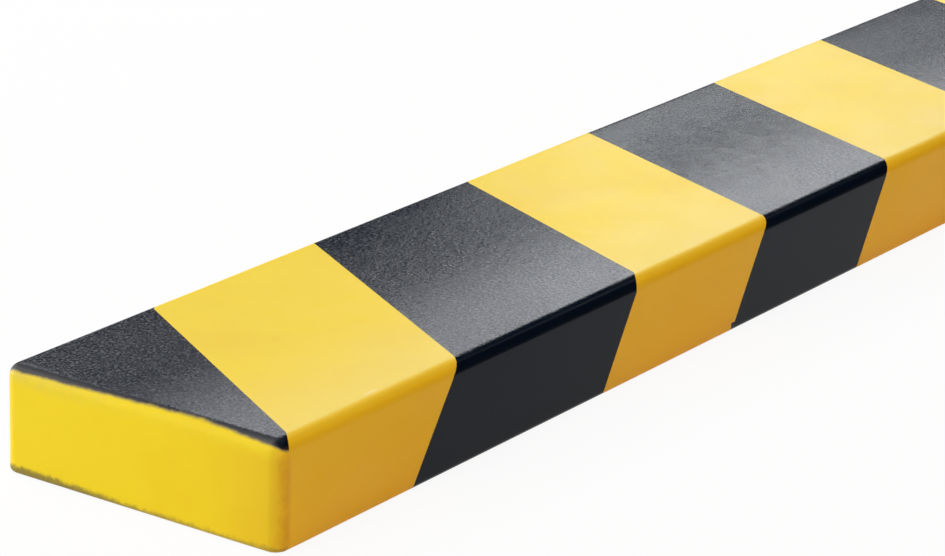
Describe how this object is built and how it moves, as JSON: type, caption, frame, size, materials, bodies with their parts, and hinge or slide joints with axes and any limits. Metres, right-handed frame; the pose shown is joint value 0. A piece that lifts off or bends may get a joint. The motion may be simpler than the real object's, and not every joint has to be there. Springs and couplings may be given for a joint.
{
  "type": "impact protection profile",
  "caption": "Straight foam bumper with a flat back, a rectangular section, rounded edges and flush diagonal warning stripes, fixed to walls, racks and machine edges.",
  "frame": {"origin": "middle of the flat back, on the surface that the profile is fixed to", "axes": "+X along the profile, away from the end with the black triangle; +Z out of the back, towards the front face; Y across"},
  "size_m": [1, 0.06, 0.02],
  "materials": {
    "yellow_foam": "satin, smooth in-mould coat on self-skinning foam",
    "black_coat": "satin, finely grained in-mould coat"
  },
  "bodies": {
    "root": {"foam_profile": "yellow_foam", "black_stripes": "black_coat"}
  },
  "joints": []
}
